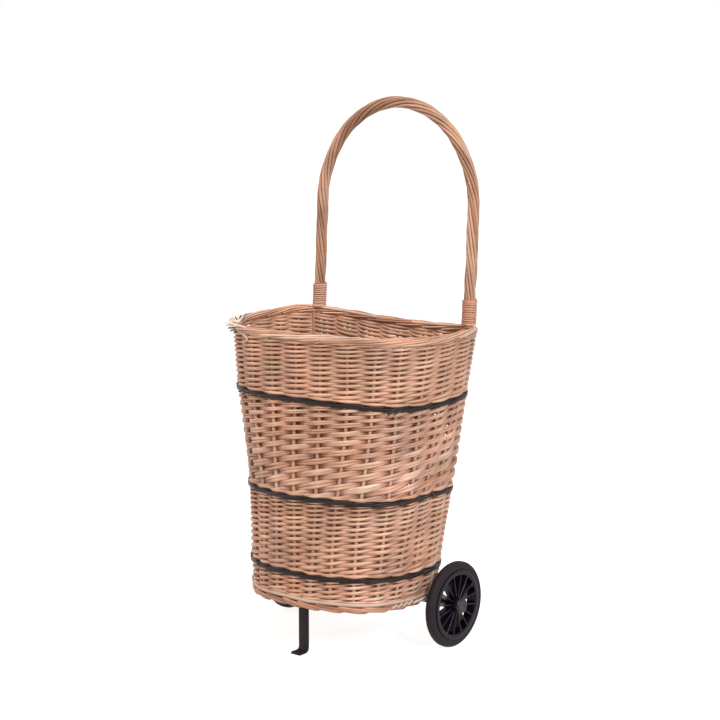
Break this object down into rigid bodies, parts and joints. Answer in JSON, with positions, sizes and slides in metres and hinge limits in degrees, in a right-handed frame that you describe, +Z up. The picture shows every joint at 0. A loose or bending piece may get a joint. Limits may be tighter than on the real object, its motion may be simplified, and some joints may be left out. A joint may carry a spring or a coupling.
{
  "type": "shopping trolley",
  "caption": "Tall wicker shopping trolley: a deep woven basket with an arched twisted handle, a pair of spoked wheels at the back and a bent steel stand at the front.",
  "frame": {"origin": "centre of the bounding box on the ground", "axes": "+Z up, -Y towards the front where the stand is, +X to the right seen from the front"},
  "size_m": [0.4292, 0.3118, 0.9366],
  "materials": {
    "willow": "woven peeled willow, satin",
    "willow_handle": "twisted peeled willow, satin",
    "dark_willow": "dyed willow, satin",
    "pale_cane": "flat peeled cane, satin",
    "black_steel": "black powder coat, satin",
    "zinc_steel": "zinc plate, satin",
    "wheel_rubber": "solid black rubber, matte",
    "wheel_plastic": "moulded black plastic, satin",
    "cap_plastic": "moulded dark grey-brown plastic, matte"
  },
  "bodies": {
    "root": {"pale_cane_row": "pale_cane", "siding_foot": "willow", "dark_band_low": "dark_willow", "siding_lower": "willow", "dark_band_middle": "dark_willow", "siding_upper": "willow", "dark_band_top": "dark_willow", "siding_rim": "willow", "stake_01": "willow", "stake_02": "willow", "stake_03": "willow", "stake_04": "willow", "stake_05": "willow", "stake_06": "willow", "stake_07": "willow", "stake_08": "willow", "stake_09": "willow", "stake_10": "willow", "stake_11": "willow", "stake_12": "willow", "stake_13": "willow", "stake_14": "willow", "stake_15": "willow", "stake_16": "willow", "stake_17": "willow", "stake_18": "willow", "stake_19": "willow", "stake_20": "willow", "stake_21": "willow", "stake_22": "willow", "stake_23": "willow", "stake_24": "willow", "rim_border": "willow", "foot_border": "willow", "floor_stick_front": "willow", "floor_stick_middle": "willow", "floor_stick_back": "willow", "floor_weave": "willow", "floor_bolt_left": "zinc_steel", "floor_bolt_right": "zinc_steel", "floor_bolt_front": "zinc_steel", "floor_nut_left": "zinc_steel", "floor_nut_right": "zinc_steel", "floor_nut_front": "zinc_steel", "axle_bracket": "black_steel", "stand_bar": "black_steel", "axle_cap_left": "cap_plastic", "axle_cap_right": "cap_plastic", "axle_spacer_left": "wheel_plastic", "axle_spacer_right": "wheel_plastic", "axle": "zinc_steel", "handle_core": "willow_handle", "handle_wrap": "willow_handle", "whipping_left": "willow", "whipping_right": "willow"},
    "left_wheel": {"tyre_left": "wheel_rubber", "wheel_left": "wheel_plastic"},
    "right_wheel": {"tyre_right": "wheel_rubber", "wheel_right": "wheel_plastic"}
  },
  "joints": [
    {"name": "left_wheel_spin", "type": "hinge", "parent": "root", "child": "left_wheel", "pos_m": [-0.18216, 0.06682, 0.075], "axis": [1, 0, 0], "continuous": true},
    {"name": "right_wheel_spin", "type": "hinge", "parent": "root", "child": "right_wheel", "pos_m": [0.18216, 0.06682, 0.075], "axis": [1, 0, 0], "continuous": true}
  ]
}
